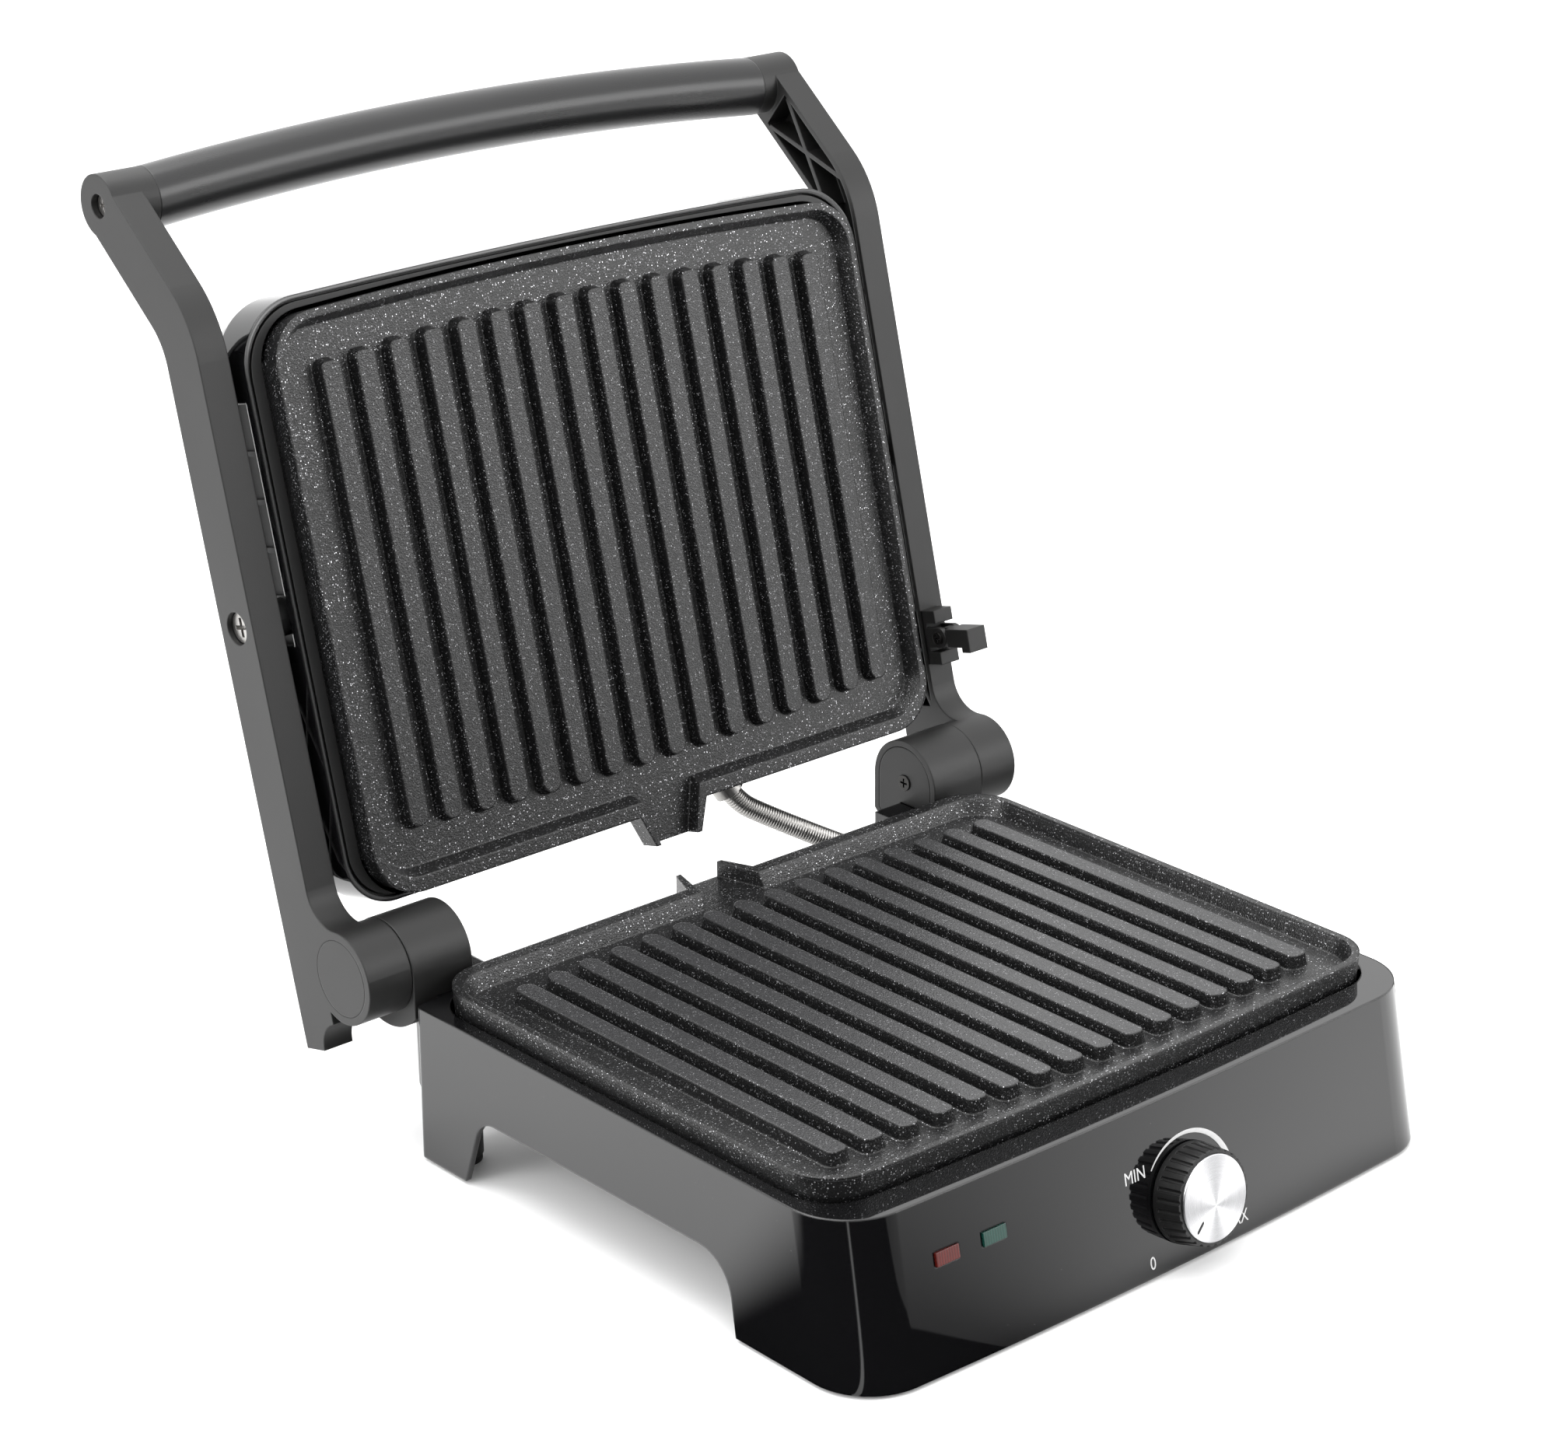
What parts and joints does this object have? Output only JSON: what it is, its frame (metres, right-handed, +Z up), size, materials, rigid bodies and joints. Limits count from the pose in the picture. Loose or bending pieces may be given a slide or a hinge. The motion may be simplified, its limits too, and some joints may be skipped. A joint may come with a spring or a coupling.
{
  "type": "contact grill",
  "caption": "Contact grill with ribbed upper and lower plates, a swing-back lid on two side arms, a cross handle and a thermostat knob on the front panel.",
  "frame": {"origin": "middle of the grill's footprint with its lid open at the rest angle, on the surface it stands on", "axes": "+X to the grill's right seen from the front, +Y to the rear (hinge side), +Z up; the knob panel faces -Y"},
  "size_m": [0.342, 0.4416, 0.3685],
  "materials": {
    "gloss_black": "gloss",
    "matte_black": "matte",
    "black_rubber": "matte",
    "nonstick_cast": "speckled non-stick coat",
    "steel": "satin",
    "element_sheath": "satin",
    "bright_sheet": "bright",
    "charcoal_plastic": "fine texture",
    "handle_coat": "satin black coat",
    "painted_pan": "matte black paint",
    "knob_black": "satin",
    "brushed_cap": "brushed",
    "red_lens": "gloss",
    "green_lens": "gloss"
  },
  "bodies": {
    "base": {"base_housing": "gloss_black", "base_bottom_cover": "painted_pan", "rear_tray": "matte_black", "foot_posts": "matte_black", "rubber_feet": "black_rubber", "lower_grill_plate": "nonstick_cast", "lower_plate_screws": "steel", "lower_heating_element": "element_sheath", "lower_reflector": "bright_sheet", "hinge_tower_left": "charcoal_plastic", "hinge_tower_right": "charcoal_plastic", "tower_cover_left": "charcoal_plastic", "tower_cover_right": "charcoal_plastic", "tower_cover_screws": "steel", "hinge_pin_left": "steel", "hinge_pin_right": "steel", "red_lamp_lens": "red_lens", "green_lamp_lens": "green_lens", "lamp_holders": "matte_black", "thermostat": "matte_black", "terminal_block": "matte_black", "cord_inlet_gland": "black_rubber", "base_conduit_ferrule": "steel", "wiring_conduit": "steel"},
    "knob": {"control_knob": "knob_black", "knob_cap": "brushed_cap", "knob_shaft": "steel"},
    "lid_frame": {"lid_arm_left": "charcoal_plastic", "lid_arm_right": "charcoal_plastic", "hinge_cap_left": "charcoal_plastic", "hinge_cap_right": "charcoal_plastic", "float_pivot_screws": "steel", "handle_screws": "steel", "handle_tube": "handle_coat", "handle_end_plugs": "matte_black", "latch_block": "charcoal_plastic", "latch_pin": "steel"},
    "latch": {"latch_lever": "charcoal_plastic"},
    "upper_housing_body": {"upper_housing": "gloss_black", "upper_bezel": "matte_black", "upper_grill_plate": "nonstick_cast", "upper_plate_screws": "steel", "upper_heating_element": "element_sheath", "upper_reflector": "bright_sheet", "float_rail_left": "matte_black", "float_rail_right": "matte_black", "upper_conduit_ferrule": "steel"}
  },
  "joints": [
    {"name": "lid_hinge", "type": "hinge", "parent": "base", "child": "lid_frame", "pos_m": [0, 0.07118, 0.0755], "axis": [1, 0, 0], "range_deg": [-75, 104], "deforming": ["wiring_conduit"]},
    {"name": "plate_float", "type": "hinge", "parent": "lid_frame", "child": "upper_housing_body", "pos_m": [0, 0.127, 0.20267], "axis": [1, 0, 0], "range_deg": [-0.7, 0.7]},
    {"name": "latch_pivot", "type": "hinge", "parent": "lid_frame", "child": "latch", "pos_m": [0.1632, 0.08751, 0.12863], "axis": [1, 0, 0], "range_deg": [-10, 10]},
    {"name": "knob_turn", "type": "hinge", "parent": "base", "child": "knob", "pos_m": [0.0105, -0.20393, 0.027], "axis": [0, -0.9797, 0.2004], "range_deg": [-270, 0]}
  ]
}
